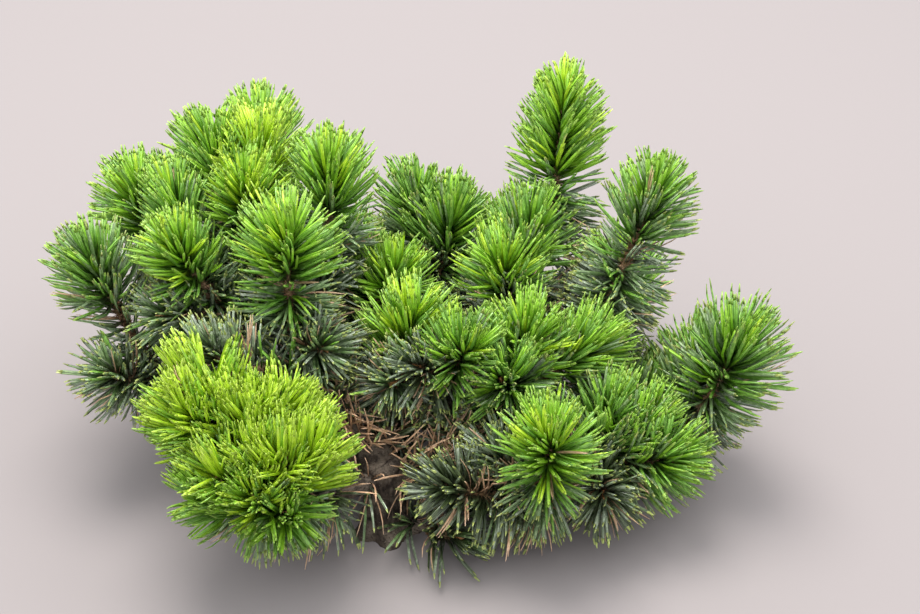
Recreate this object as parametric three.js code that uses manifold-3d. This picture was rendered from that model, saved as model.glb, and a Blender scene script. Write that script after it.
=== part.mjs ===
// Dwarf mountain pine, rooted in open ground: a short flared trunk that forks low down, boughs that
// spread and turn up at their ends, and brushes of needles on the shoots.
// Units are millimetres and degrees. +Z is up, the origin is the middle of the trunk's cut at ground
// level, +X is the plant's right and +Y its back. A heading is the compass turn from +X towards +Y, and
// a lean is the angle away from upright.

import * as THREE from "three";
import { mergeVertices } from "three/addons/utils/BufferGeometryUtils.js";
import Module from "manifold-3d";

const wasm = await Module();
wasm.setup();

// Driving dimensions
const TRUNK = {
  height: 40,
  dome: 4,
  shoulder: 0.75,
  base: 11,
  top: 10,
  heading: 117,
  lean: 6,
  sides: 20,
  rings: [0, 2, 5, 9, 16, 26, 37],
};
const FLARE = { out: 6, depth: 5, lobes: 5, lobeShare: 0.16, lobeDepth: 8, lobeTurn: 0.6 };
const LIMB = { sides: 7, rings: 5, sag: 0.09 };
const SHOOT = { base: 2.6, tip: 2.1, swell: 1.8, sides: 5, ringPitch: 6.6, sag: 0.12 };
const STEM = 7;

// Needle lengths in millimetres, and openings in degrees from the shoot's own line
const NEEDLE = {
  length: 33,
  shortest: 0.86,
  crown: 0.82,
  width: 3.2,
  square: 80,
  closed: 18,
  closing: 1.4,
  sway: 4,
  firstShare: 0.1,
  freshShare: 0.4,
};

// Clearances: between solids, above the ground, round the limbs, and between neighbouring shoots' spaces
const GAP = 0.3;
const GROUND_CLEARANCE = 1.5;
const LIMB_CLEARANCE = 1;
const SPACE_CLEARANCE = 1.2;
const SIBLING_OVERLAP = 4;
const NEEDLE_PROBES = [0.2, 0.4, 0.6, 0.8, 1];
const LINE_PROBES = 14;
const SEED = 7;

const UP = new THREE.Vector3(0, 0, 1);

// Each bough leaves its parent limb at a share of the parent's length
const BOUGHS = {
  left: { from: "trunk", at: 0.9, heading: 136, lean: 54, length: 75, base: 7.5, tip: 4.6 },
  left_side: { from: "left", at: 0.6, heading: 145, lean: 68, length: 69, base: 4, tip: 2.8 },
  left_outer: { from: "left", at: 0.4, heading: 162, lean: 87, length: 98, base: 4.6, tip: 2.8 },
  left_top: { from: "left", at: 0.7, heading: 120, lean: 66, length: 84, base: 4.4, tip: 3 },
  left_inner: { from: "left_top", at: 0.4, heading: 63, lean: 58, length: 40, base: 3, tip: 2.6 },
  left_back: { from: "left_top", at: 0.6, heading: 147, lean: 83, length: 68, base: 3, tip: 2.6 },
  rear_left: { from: "left_top", at: 0.75, heading: 117, lean: 101, length: 68, base: 3, tip: 2.6 },
  left_low: { from: "left", at: 0.8, heading: 222, lean: 58, length: 28, base: 3, tip: 2.5 },
  inner_back: { from: "left", at: 0.5, heading: 98, lean: 90, length: 74, base: 3.4, tip: 2.6 },
  front_left: { from: "trunk", at: 0.8, heading: 216, lean: 76, length: 59, base: 6, tip: 3.4 },
  front_upper: { from: "front_left", at: 0.7, heading: 172, lean: 52, length: 34, base: 3.2, tip: 2.8 },
  centre: { from: "trunk", at: 0.95, heading: 78, lean: 63, length: 44, base: 5, tip: 3.2 },
  back: { from: "centre", at: 0.6, heading: 77, lean: 82, length: 94, base: 4, tip: 3 },
  back_low: { from: "back", at: 0.5, heading: 122, lean: 74, length: 27, base: 2.8, tip: 2.4 },
  rear_middle: { from: "back", at: 0.75, heading: 72, lean: 102, length: 58, base: 2.8, tip: 2.4 },
  rear_centre: { from: "back", at: 0.6, heading: 122, lean: 98, length: 66, base: 2.8, tip: 2.4 },
  right: { from: "trunk", at: 0.85, heading: 5, lean: 91, length: 102, base: 6.5, tip: 3.4 },
  front_right: { from: "right", at: 0.6, heading: 318, lean: 91, length: 24, base: 3.6, tip: 2.8 },
  right_outer: { from: "right", at: 0.7, heading: 17, lean: 90, length: 84, base: 3.8, tip: 2.8 },
  rear_outer: { from: "right_outer", at: 0.4, heading: 52, lean: 90, length: 32, base: 3, tip: 2.5 },
  middle: { from: "right", at: 0.22, heading: 38, lean: 67, length: 60, base: 5, tip: 3.2 },
  inner_right: { from: "middle", at: 0.35, heading: 98, lean: 42, length: 32, base: 3, tip: 2.5 },
  rear: { from: "middle", at: 0.6, heading: 75, lean: 64, length: 66, base: 3.6, tip: 2.8 },
  tall: { from: "rear", at: 0.6, heading: 66, lean: 64, length: 81, base: 3.4, tip: 2.7 },
  right_rear: { from: "middle", at: 0.75, heading: 40, lean: 77, length: 68, base: 3.2, tip: 2.7 },
  rear_right: { from: "tall", at: 0.5, heading: 32, lean: 112, length: 70, base: 2.8, tip: 2.4 },
  low: { from: "trunk", at: 0.3, heading: 328, lean: 97, length: 20, base: 2.6, tip: 2 },
};

// Each mass of needles grows from one bough's tip: a short stem, which forks into these shoots
const MASSES = {
  left_crown: {
    bough: "left",
    shoots: [
      { heading: 94, lean: 10, length: 60 },
      { heading: 318, lean: 72, length: 26 },
    ],
  },
  left_side: {
    bough: "left_side",
    shoots: [
      { heading: 182, lean: 27, length: 48 },
      { heading: 126, lean: 46, length: 68 },
      { heading: 205, lean: 78, length: 34 },
    ],
  },
  left_outer: {
    bough: "left_outer",
    shoots: [
      { heading: 150, lean: 32, length: 74 },
      { heading: 215, lean: 62, length: 34 },
    ],
  },
  left_top: {
    bough: "left_top",
    shoots: [
      { heading: 122, lean: 42, length: 64 },
      { heading: 82, lean: 34, length: 60 },
      { heading: 88, lean: 56, length: 78 },
      { heading: 280, lean: 6, length: 44 },
    ],
  },
  left_inner: { bough: "left_inner", shoots: [{ heading: 92, lean: 26, length: 53 }] },
  left_back: {
    bough: "left_back",
    shoots: [
      { heading: 143, lean: 34, length: 43 },
      { heading: 100, lean: 62, length: 42 },
    ],
  },
  rear_left: {
    bough: "rear_left",
    shoots: [
      { heading: 120, lean: 36, length: 44 },
      { heading: 70, lean: 52, length: 42 },
    ],
  },
  left_low: { bough: "left_low", shoots: [{ heading: 190, lean: 62, length: 34 }] },
  inner_back: {
    bough: "inner_back",
    shoots: [
      { heading: 130, lean: 52, length: 42 },
      { heading: 50, lean: 60, length: 40 },
    ],
  },
  front_lower: {
    bough: "front_left",
    shoots: [
      { heading: 304, lean: 22, length: 40 },
      { heading: 214, lean: 42, length: 42 },
      { heading: 254, lean: 46, length: 34 },
      { heading: 345, lean: 34, length: 40 },
      { heading: 204, lean: 66, length: 38 },
      { heading: 290, lean: 62, length: 28 },
      { heading: 240, lean: 18, length: 38 },
    ],
  },
  front_upper: {
    bough: "front_upper",
    shoots: [
      { heading: 160, lean: 34, length: 48 },
      { heading: 230, lean: 16, length: 30 },
      { heading: 20, lean: 42, length: 28 },
      { heading: 298, lean: 26, length: 30 },
      { heading: 186, lean: 58, length: 40 },
      { heading: 345, lean: 60, length: 32 },
      { heading: 200, lean: 40, length: 42 },
    ],
  },
  centre_front: {
    bough: "centre",
    shoots: [
      { heading: 50, lean: 16, length: 36 },
      { heading: 262, lean: 56, length: 28 },
    ],
  },
  back: {
    bough: "back",
    shoots: [
      { heading: 110, lean: 40, length: 56 },
      { heading: 60, lean: 22, length: 47 },
    ],
  },
  back_low: {
    bough: "back_low",
    shoots: [
      { heading: 350, lean: 12, length: 32 },
      { heading: 110, lean: 60, length: 38 },
    ],
  },
  rear_middle: {
    bough: "rear_middle",
    shoots: [
      { heading: 100, lean: 40, length: 40 },
      { heading: 30, lean: 46, length: 40 },
    ],
  },
  rear_centre: {
    bough: "rear_centre",
    shoots: [
      { heading: 130, lean: 36, length: 44 },
      { heading: 64, lean: 76, length: 34 },
    ],
  },
  right_front: {
    bough: "right",
    shoots: [
      { heading: 10, lean: 52, length: 38 },
      { heading: 344, lean: 70, length: 46 },
      { heading: 50, lean: 30, length: 32 },
      { heading: 280, lean: 78, length: 32 },
    ],
  },
  front_right: {
    bough: "front_right",
    shoots: [
      { heading: 272, lean: 18, length: 56 },
      { heading: 165, lean: 48, length: 34 },
      { heading: 190, lean: 74, length: 56 },
    ],
  },
  right_outer: {
    bough: "right_outer",
    shoots: [
      { heading: 8, lean: 26, length: 62 },
      { heading: 66, lean: 44, length: 42 },
    ],
  },
  rear_outer: {
    bough: "rear_outer",
    shoots: [
      { heading: 96, lean: 74, length: 30 },
      { heading: 30, lean: 78, length: 32 },
    ],
  },
  middle: {
    bough: "middle",
    shoots: [
      { heading: 48, lean: 14, length: 32 },
      { heading: 16, lean: 66, length: 46 },
      { heading: 180, lean: 30, length: 26 },
      { heading: 250, lean: 48, length: 34 },
    ],
  },
  inner_right: {
    bough: "inner_right",
    shoots: [
      { heading: 296, lean: 34, length: 34 },
      { heading: 228, lean: 52, length: 30 },
    ],
  },
  rear: {
    bough: "rear",
    shoots: [
      { heading: 104, lean: 16, length: 26 },
      { heading: 66, lean: 43, length: 50 },
    ],
  },
  tall: { bough: "tall", shoots: [{ heading: 74, lean: 20, length: 75 }] },
  right_rear: { bough: "right_rear", shoots: [{ heading: 42, lean: 31, length: 88 }] },
  rear_right: {
    bough: "rear_right",
    shoots: [
      { heading: 92, lean: 66, length: 28 },
      { heading: 104, lean: 88, length: 36 },
    ],
  },
  low_sprig: { bough: "low", shoots: [{ heading: 330, lean: 80, length: 18 }] },
};

const bark = new THREE.MeshStandardMaterial({ color: 0x6f5f52, roughness: 0.9, metalness: 0 });
const needleGreen = new THREE.MeshStandardMaterial({ color: 0x4f8f2a, roughness: 0.5, metalness: 0 });

// Seeded random numbers from 0 to 1
function randomFrom(seed) {
  let state = seed >>> 0;
  return () => {
    state = (state + 0x6d2b79f5) >>> 0;
    let mixed = Math.imul(state ^ (state >>> 15), state | 1);
    mixed ^= mixed + Math.imul(mixed ^ (mixed >>> 7), mixed | 61);
    return ((mixed ^ (mixed >>> 14)) >>> 0) / 4294967296;
  };
}

function direction(heading, lean) {
  const h = THREE.MathUtils.degToRad(heading);
  const l = THREE.MathUtils.degToRad(lean);
  return new THREE.Vector3(Math.sin(l) * Math.cos(h), Math.sin(l) * Math.sin(h), Math.cos(l));
}

// The line that a limb grows along: it leaves low and turns up towards its tip
function growthLine(start, { heading, lean, length }, sag) {
  const tip = start.clone().addScaledVector(direction(heading, lean), length);
  const middle = start.clone().lerp(tip, 0.5).addScaledVector(UP, -sag * length);
  middle.z = Math.max(middle.z, Math.min(start.z, tip.z));
  return new THREE.QuadraticBezierCurve3(start, middle, tip);
}

function toSolid(geometry) {
  const bare = geometry.clone();
  bare.deleteAttribute("normal");
  bare.deleteAttribute("uv");
  const merged = mergeVertices(bare, 1e-4);
  const mesh = new wasm.Mesh({
    numProp: 3,
    vertProperties: new Float32Array(merged.attributes.position.array),
    triVerts: new Uint32Array(merged.index.array),
  });
  return new wasm.Manifold(mesh);
}

function toNode(solid, name, material) {
  const { numProp, numVert, vertProperties, triVerts } = solid.getMesh();
  const positions = new Float32Array(numVert * 3);
  for (let i = 0; i < numVert; i++) {
    positions.set(vertProperties.subarray(i * numProp, i * numProp + 3), i * 3);
  }
  const geometry = new THREE.BufferGeometry();
  geometry.setAttribute("position", new THREE.BufferAttribute(positions, 3));
  geometry.setIndex(new THREE.BufferAttribute(new Uint32Array(triVerts), 1));
  geometry.computeVertexNormals();
  const mesh = new THREE.Mesh(geometry, material);
  mesh.name = name;
  return mesh;
}

// The largest body of a solid: cutting limbs clear of each other can leave loose scraps
function largestBody(solid) {
  return solid.decompose().reduce((best, body) => (body.volume() > best.volume() ? body : best));
}

// A cylinder bent along a curve, with its radius a function of the share of the length. extra makes it
// fatter, and longer at both ends, for cutting a gap round it. stagger turns each ring half a side.
function bentCylinder(curve, radiusAt, sides, rings, extra, stagger) {
  const geometry = new THREE.CylinderGeometry(1, 1, 1, sides, rings);
  const frames = curve.computeFrenetFrames(rings, false);
  const position = geometry.attributes.position;
  const centres = frames.tangents.map((tangent, i) => {
    const along = i === 0 ? -extra : i === rings ? extra : 0;
    return curve.getPointAt(i / rings).addScaledVector(tangent, along);
  });
  for (let i = 0; i < position.count; i++) {
    const ring = Math.round((position.getY(i) + 0.5) * rings);
    const radius = (radiusAt(ring / rings) + extra) * Math.hypot(position.getX(i), position.getZ(i));
    const angle = Math.atan2(position.getX(i), position.getZ(i)) - (stagger ? (ring * Math.PI) / sides : 0);
    const point = centres[ring].clone();
    point.addScaledVector(frames.binormals[ring], radius * Math.sin(angle));
    point.addScaledVector(frames.normals[ring], radius * Math.cos(angle));
    position.setXYZ(i, point.x, point.y, point.z);
  }
  return geometry;
}

function limbSolid(curve, radiusAt, extra = 0) {
  return toSolid(bentCylinder(curve, radiusAt, LIMB.sides, LIMB.rings, extra, false));
}

function trunkLine() {
  const head = direction(TRUNK.heading, TRUNK.lean).multiplyScalar(TRUNK.height);
  return new THREE.LineCurve3(new THREE.Vector3(0, 0, 0), head);
}

function trunkRadius(height) {
  const taper = THREE.MathUtils.lerp(TRUNK.base, TRUNK.top, height / TRUNK.height);
  return taper + FLARE.out * Math.exp(-height / FLARE.depth);
}

// The trunk: a turned profile with a domed head, leant over, with its foot drawn out into lobes
function trunkSolid(extra = 0) {
  const wall = TRUNK.rings.map((height) => {
    return new THREE.Vector2(trunkRadius(height) + extra, height === 0 ? -extra : height);
  });
  const shoulder = new THREE.Vector2(TRUNK.shoulder * TRUNK.top + extra, TRUNK.height + TRUNK.dome / 2 + extra);
  const crest = new THREE.Vector2(0, TRUNK.height + TRUNK.dome + extra);
  const profile = [new THREE.Vector2(0, -extra), ...wall, shoulder, crest];
  const geometry = new THREE.LatheGeometry(profile, TRUNK.sides);
  geometry.rotateX(Math.PI / 2);
  const lean = direction(TRUNK.heading, TRUNK.lean);
  const position = geometry.attributes.position;
  for (let i = 0; i < position.count; i++) {
    const z = position.getZ(i);
    const height = Math.max(z, 0);
    const angle = Math.atan2(position.getY(i), position.getX(i));
    const fade = FLARE.lobeShare * Math.exp(-height / FLARE.lobeDepth);
    const lobe = 1 + fade * Math.cos(FLARE.lobes * angle + FLARE.lobeTurn);
    const x = position.getX(i) * lobe + lean.x * height;
    const y = position.getY(i) * lobe + lean.y * height;
    position.setXYZ(i, x, y, z);
  }
  return toSolid(geometry);
}

// Every limb with its line, its own solid, and a fatter one that keeps the others clear of it
function growLimbs() {
  const trunk = { line: trunkLine(), solid: trunkSolid(), fat: trunkSolid(GAP), radius: TRUNK.base };
  const limbs = { trunk };
  for (const [name, bough] of Object.entries(BOUGHS)) {
    const line = growthLine(limbs[bough.from].line.getPointAt(bough.at), bough, LIMB.sag);
    const radiusAt = (share) => THREE.MathUtils.lerp(bough.base, bough.tip, share);
    const earlier = Object.values(limbs).map((limb) => limb.fat);
    const whole = limbSolid(line, radiusAt);
    const solid = largestBody(whole.subtract(wasm.Manifold.union(earlier)));
    limbs[name] = { line, solid, fat: limbSolid(line, radiusAt, GAP), radius: bough.base };
  }
  return limbs;
}

// The stem and shoots of one mass, as lines from the bough's tip
function shootLines(limbs, mass) {
  const parent = limbs[mass.bough].line;
  const onward = parent.getTangentAt(1);
  const start = parent.getPointAt(1).addScaledVector(onward, GAP);
  const fork = start.clone().addScaledVector(onward, STEM);
  const shoots = mass.shoots.map((shoot) => growthLine(fork, shoot, SHOOT.sag));
  return { stem: new THREE.LineCurve3(start, fork), shoots };
}

function shootRadius(share) {
  return THREE.MathUtils.lerp(SHOOT.base, SHOOT.tip, share) + SHOOT.swell * Math.sin(Math.PI * share);
}

const probes = (line) => Array.from({ length: LINE_PROBES + 1 }, (_, i) => line.getPointAt(i / LINE_PROBES));

const nearest = (point, others) => Math.min(...others.map((other) => point.distanceTo(other)));

// The seeded needle rule: old needles stand out square from the shoot, and fresh ones close in round its
// bud, the last ones a little shorter, so that a shoot ends in a round brush
function needleAt(line, share, root, random) {
  const fresh = THREE.MathUtils.clamp((share - NEEDLE.freshShare) / (1 - NEEDLE.freshShare), 0, 1);
  const closed = fresh ** NEEDLE.closing;
  const open = THREE.MathUtils.lerp(NEEDLE.square, NEEDLE.closed, closed) + (random() - 0.5) * NEEDLE.sway;
  const axis = line.getTangentAt(share);
  const across = root.clone().sub(line.getPointAt(share));
  across.addScaledVector(axis, -across.dot(axis)).normalize();
  const tilt = THREE.MathUtils.degToRad(open);
  const aim = axis.multiplyScalar(Math.cos(tilt)).addScaledVector(across, Math.sin(tilt));
  const crown = THREE.MathUtils.lerp(1, NEEDLE.crown, fresh);
  return { root, aim, length: NEEDLE.length * crown * THREE.MathUtils.lerp(NEEDLE.shortest, 1, random()) };
}

// A needle stays if it keeps above the ground, off every limb, and to its own shoot's side of the others
function keepsToSpace({ root, aim, length }, own, siblings, others, limbPoints) {
  return NEEDLE_PROBES.every((share) => {
    const point = root.clone().addScaledVector(aim, length * share);
    const width = NEEDLE.width * (1 - share);
    const reach = nearest(point, own);
    const offLimbs = limbPoints.every((limb) => {
      return point.distanceTo(limb.point) > limb.radius + LIMB_CLEARANCE + width / 2;
    });
    const offSiblings = reach - SIBLING_OVERLAP < nearest(point, siblings);
    const offOthers = reach + SPACE_CLEARANCE + width < nearest(point, others);
    return point.z > GROUND_CLEARANCE && offLimbs && offSiblings && offOthers;
  });
}

// A shoot: a slim core of staggered rings, with each facet past its bare foot drawn out into a needle
function shootSolid(line, keeps, random) {
  const rings = Math.round(line.getLength() / SHOOT.ringPitch);
  const cornersOf = (geometry) => geometry.toNonIndexed().attributes.position;
  const straight = cornersOf(new THREE.CylinderGeometry(1, 1, 1, SHOOT.sides, rings));
  const bent = cornersOf(bentCylinder(line, shootRadius, SHOOT.sides, rings, 0, true));
  const corners = [];
  for (let i = 0; i < bent.count; i += 3) {
    const facet = [0, 1, 2].map((k) => new THREE.Vector3().fromBufferAttribute(bent, i + k));
    const share = 0.5 + (straight.getY(i) + straight.getY(i + 1) + straight.getY(i + 2)) / 3;
    const root = facet[0].clone().add(facet[1]).add(facet[2]).divideScalar(3);
    const needle = needleAt(line, share, root, random);
    if (share < NEEDLE.firstShare || !keeps(needle)) {
      corners.push(...facet);
      continue;
    }
    const tip = root.clone().addScaledVector(needle.aim, needle.length);
    facet.forEach((corner, k) => corners.push(corner, facet[(k + 1) % 3], tip));
  }
  return toSolid(new THREE.BufferGeometry().setFromPoints(corners));
}

// One mass: its stem and its shoots, fused, and cut clear of the limbs
function massSolid(name, lines, fatLimbs, limbPoints) {
  const random = randomFrom(SEED + Object.keys(lines).indexOf(name));
  const { stem, shoots } = lines[name];
  const linesOf = (key) => [lines[key].stem, ...lines[key].shoots];
  const others = Object.keys(lines)
    .filter((key) => key !== name)
    .flatMap((key) => linesOf(key).flatMap(probes));
  const pieces = [limbSolid(stem, () => SHOOT.base)];
  for (const line of shoots) {
    const own = probes(line);
    const siblings = shoots.filter((shoot) => shoot !== line).flatMap(probes);
    const keeps = (needle) => keepsToSpace(needle, own, siblings, others, limbPoints);
    pieces.push(shootSolid(line, keeps, random));
  }
  return largestBody(wasm.Manifold.union(pieces).subtract(fatLimbs));
}

function buildPine() {
  const pine = new THREE.Group();
  const limbs = growLimbs();
  const lines = {};
  for (const [name, mass] of Object.entries(MASSES)) {
    lines[name] = shootLines(limbs, mass);
  }
  const fatLimbs = wasm.Manifold.union(Object.values(limbs).map((limb) => limb.fat));
  const limbPoints = Object.values(limbs).flatMap(({ line, radius }) => {
    return probes(line).map((point) => ({ point, radius }));
  });
  for (const [name, limb] of Object.entries(limbs)) {
    pine.add(toNode(limb.solid, name === "trunk" ? name : `${name}_bough`, bark));
  }
  for (const name of Object.keys(MASSES)) {
    pine.add(toNode(massSolid(name, lines, fatLimbs, limbPoints), `${name}_needles`, needleGreen));
  }
  return pine;
}

export default buildPine();
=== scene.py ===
import math
from collections import namedtuple

import bmesh
import bpy
import numpy as np
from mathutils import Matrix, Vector, noise


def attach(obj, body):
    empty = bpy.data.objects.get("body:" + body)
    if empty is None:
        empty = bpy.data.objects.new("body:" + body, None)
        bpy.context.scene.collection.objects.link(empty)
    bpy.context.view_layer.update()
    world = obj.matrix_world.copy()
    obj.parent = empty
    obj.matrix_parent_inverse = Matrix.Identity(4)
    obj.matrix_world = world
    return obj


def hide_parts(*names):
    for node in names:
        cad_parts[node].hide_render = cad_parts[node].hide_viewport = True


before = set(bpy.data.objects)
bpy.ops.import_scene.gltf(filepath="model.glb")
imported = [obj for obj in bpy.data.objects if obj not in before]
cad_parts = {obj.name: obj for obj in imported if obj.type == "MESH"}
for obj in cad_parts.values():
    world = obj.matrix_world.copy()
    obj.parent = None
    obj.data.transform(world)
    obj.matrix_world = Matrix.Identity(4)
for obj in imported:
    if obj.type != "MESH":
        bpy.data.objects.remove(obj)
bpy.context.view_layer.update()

MM = 0.001
UP = np.array([0.0, 0.0, 1.0])
NO_PLACES = np.zeros((0, 3))
GOLDEN_ANGLE = math.radians(137.508)
SEED = 11
random = np.random.default_rng(SEED)
noise.seed_set(SEED)

# The plain solids' sizes, which the finer plant grows from
TRUNK = {"height": 40, "dome": 4, "base": 11, "top": 10, "heading": 117, "lean": 6}
FLARE = {"out": 6, "depth": 5, "lobes": 5, "lobe_share": 0.16, "lobe_depth": 8, "lobe_turn": 0.6}
LIMB_SAG = 0.09
SHOOT_SAG = 0.12
SHOOT_RADII = (2.6, 2.0)
STEM = 7.3

# Clearances, how far needles may reach past the middle between two shoots, and points along a line
GROUND_CLEARANCE = 1.5
LIMB_CLEARANCE = 0.4
SIBLING_OVERLAP = 14
NEIGHBOUR_OVERLAP = 9
LINE_PROBES = 14
LINE_STEPS = 60

# Bough: parent limb, share of the parent's length, heading, lean, length, base and tip radius
BOUGHS = {
    "left": ("trunk", 0.9, 136, 54, 75, 7.5, 4.6),
    "left_side": ("left", 0.6, 145, 68, 69, 4, 2.8),
    "left_outer": ("left", 0.4, 162, 87, 98, 4.6, 2.8),
    "left_top": ("left", 0.7, 120, 66, 84, 4.4, 3),
    "left_inner": ("left_top", 0.4, 63, 58, 40, 3, 2.6),
    "left_back": ("left_top", 0.6, 147, 83, 68, 3, 2.6),
    "rear_left": ("left_top", 0.75, 117, 101, 68, 3, 2.6),
    "left_low": ("left", 0.8, 222, 58, 28, 3, 2.5),
    "inner_back": ("left", 0.5, 98, 90, 74, 3.4, 2.6),
    "front_left": ("trunk", 0.8, 216, 76, 59, 6, 3.4),
    "front_upper": ("front_left", 0.7, 172, 52, 34, 3.2, 2.8),
    "centre": ("trunk", 0.95, 78, 63, 44, 5, 3.2),
    "back": ("centre", 0.6, 77, 82, 94, 4, 3),
    "back_low": ("back", 0.5, 122, 74, 27, 2.8, 2.4),
    "rear_middle": ("back", 0.75, 72, 102, 58, 2.8, 2.4),
    "rear_centre": ("back", 0.6, 122, 98, 66, 2.8, 2.4),
    "right": ("trunk", 0.85, 5, 91, 102, 6.5, 3.4),
    "front_right": ("right", 0.6, 318, 91, 24, 3.6, 2.8),
    "right_outer": ("right", 0.7, 17, 90, 84, 3.8, 2.8),
    "rear_outer": ("right_outer", 0.4, 52, 90, 32, 3, 2.5),
    "middle": ("right", 0.22, 38, 67, 60, 5, 3.2),
    "inner_right": ("middle", 0.35, 98, 42, 32, 3, 2.5),
    "rear": ("middle", 0.6, 75, 64, 66, 3.6, 2.8),
    "tall": ("rear", 0.6, 66, 64, 81, 3.4, 2.7),
    "right_rear": ("middle", 0.75, 40, 77, 68, 3.2, 2.7),
    "rear_right": ("tall", 0.5, 32, 112, 70, 2.8, 2.4),
    "low": ("trunk", 0.3, 328, 97, 20, 2.6, 2),
}

# Mass of needles: its bough, and each shoot's heading, lean, length and how bright its needles are; that
# brightness is partly the needles' own freshness and partly painted shade, lower on the low shoots in the
# crown's shade
MASSES = {
    "left_crown": ("left", [(94, 10, 60, 0.61), (318, 72, 26, 0.24)]),
    "left_side": ("left_side", [(182, 27, 48, 0.6), (126, 46, 68, 0.5), (205, 78, 34, 0.24)]),
    "left_outer": ("left_outer", [(150, 32, 74, 0.27), (215, 62, 34, 0.24)]),
    "left_top": ("left_top", [(122, 42, 64, 0.6), (82, 34, 60, 0.9), (88, 56, 78, 0.6), (280, 6, 44, 0.7)]),
    "left_inner": ("left_inner", [(92, 26, 53, 0.56)]),
    "left_back": ("left_back", [(143, 34, 43, 0.5), (100, 62, 42, 0.45)]),
    "rear_left": ("rear_left", [(120, 36, 44, 0.5), (70, 52, 42, 0.5)]),
    "left_low": ("left_low", [(190, 62, 34, 0.24)]),
    "inner_back": ("inner_back", [(130, 52, 42, 0.4), (50, 60, 40, 0.5)]),
    "front_lower": (
        "front_left",
        [
            (304, 22, 40, 0.95),
            (214, 42, 42, 0.75),
            (254, 46, 34, 0.72),
            (345, 34, 40, 0.95),
            (204, 66, 38, 0.55),
            (290, 62, 28, 0.5),
            (240, 18, 38, 0.95),
        ],
    ),
    "front_upper": (
        "front_upper",
        [
            (160, 34, 48, 1),
            (230, 16, 30, 1),
            (20, 42, 28, 1),
            (298, 26, 30, 0.95),
            (186, 58, 40, 0.8),
            (345, 60, 32, 1),
            (200, 40, 42, 0.95),
        ],
    ),
    "centre_front": ("centre", [(50, 16, 36, 0.65), (262, 56, 28, 0.2)]),
    "back": ("back", [(110, 40, 56, 0.3), (60, 22, 47, 0.45)]),
    "back_low": ("back_low", [(350, 12, 32, 0.6), (110, 60, 38, 0.4)]),
    "rear_middle": ("rear_middle", [(100, 40, 40, 0.5), (30, 46, 40, 0.5)]),
    "rear_centre": ("rear_centre", [(130, 36, 44, 0.5), (64, 76, 34, 0.4)]),
    "right_front": (
        "right",
        [
            (10, 52, 38, 0.45),
            (344, 70, 46, 0.4),
            (50, 30, 32, 0.4),
            (280, 78, 32, 0.0),
        ],
    ),
    "front_right": ("front_right", [(272, 18, 56, 0.63), (165, 48, 34, 0.15), (190, 74, 56, 0.0)]),
    "right_outer": ("right_outer", [(8, 26, 62, 0.35), (66, 44, 42, 0.3)]),
    "rear_outer": ("rear_outer", [(96, 74, 30, 0.4), (30, 78, 32, 0.4)]),
    "middle": ("middle", [(48, 14, 32, 0.6), (16, 66, 46, 0.5), (180, 30, 26, 0.42), (250, 48, 34, 0.34)]),
    "inner_right": ("inner_right", [(296, 34, 34, 0.45), (228, 52, 30, 0.1)]),
    "rear": ("rear", [(104, 16, 26, 0.66), (66, 43, 50, 0.46)]),
    "tall": ("tall", [(74, 20, 75, 0.64)]),
    "right_rear": ("right_rear", [(42, 31, 88, 0.36)]),
    "rear_right": ("rear_right", [(92, 66, 28, 0.5), (104, 88, 36, 0.4)]),
    "low_sprig": ("low", [(330, 80, 18, 0.05)]),
}

# The share of a bough, from its foot, that has lost its green needles
BARE_SHARE = {
    "left": 0.55,
    "front_left": 0.5,
    "right": 0.3,
    "centre": 0.3,
    "middle": 0.3,
    "low": 0.6,
    "rear": 0.5,
    "tall": 0.9,
    "right_rear": 0.9,
    "left_inner": 0.5,
}
USUAL_BARE_SHARE = 0.12

# Dead needles: these boughs keep them to well past the bare stretch, the others only near the foot
DEAD_BOUGHS = ("left", "right", "centre", "middle")
DEAD_START = 0.3
DEAD_END = 0.42
DEAD_RUN = 0.5

# Needles: sizes in millimetres, and the shares of a needle where its tip starts and where room is tested
NEEDLE_LENGTH = 33
NEEDLE_WIDTH = 1.75
DEAD_WIDTH = 1.1
NEEDLE_THICKNESS = 0.58
NEEDLE_OUTLINE = ((0, 0.66), (0.12, 0.9), (0.45, 1), (0.9, 0.86), (1, 0.3))
TIP_START = 0.9
NEEDLE_PROBES = (0.25, 0.5, 0.75, 1.0)

# Where a shoot's needles stand: old ones from its foot, then a band of scales, then fresh ones to its tip
OLD_START = 0.04
FRESH_SHARE = 0.74
SCALE_BANDS = {"left_outer": 24, "left_side": 12, "left_crown": 8, "right_rear": 17, "tall": 8}
USUAL_SCALE_BAND = 5

# Zones of needles: how dense, open, uneven and long they are, how far they turn up and lean together in locks
ZONE_PARTS = "pairs_per_mm open_first open_last curve sway splay length_low length_high lift crown lock_pull"
Zone = namedtuple("Zone", ZONE_PARTS, defaults=(0.34,))
ROUND = Zone(5.9, 76, 12, 1.7, 10, 4, 0.8, 1.0, 0.08, 0.76)
SHORT = ROUND._replace(
    pairs_per_mm=4.1,
    open_first=58,
    length_low=0.76,
    length_high=0.94,
    lift=0.24,
    lock_pull=0.55,
)
BROAD = ROUND._replace(length_low=0.98, length_high=1.16)
EGG = Zone(5.2, 68, 10, 1.7, 9, 4, 0.76, 0.94, 0.03, 0.8)
TIRED = Zone(4.4, 96, 22, 1.2, 14, 8, 0.66, 0.92, -0.02, 0.86)
SPARSE = Zone(1.2, 86, 70, 1, 12, 6, 0.7, 0.95, 0, 1)
OLD = Zone(4.7, 108, 84, 1, 11, 8, 0.74, 0.96, -0.06, 1)
BOUGH_OLD = Zone(3.4, 104, 66, 1, 26, 10, 0.7, 0.95, -0.1, 1)
BOUGH_DEAD = Zone(4.8, 104, 40, 1, 46, 14, 0.8, 1.1, -0.12, 1, 0.1)
TIRED_BELOW = 0.25

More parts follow.
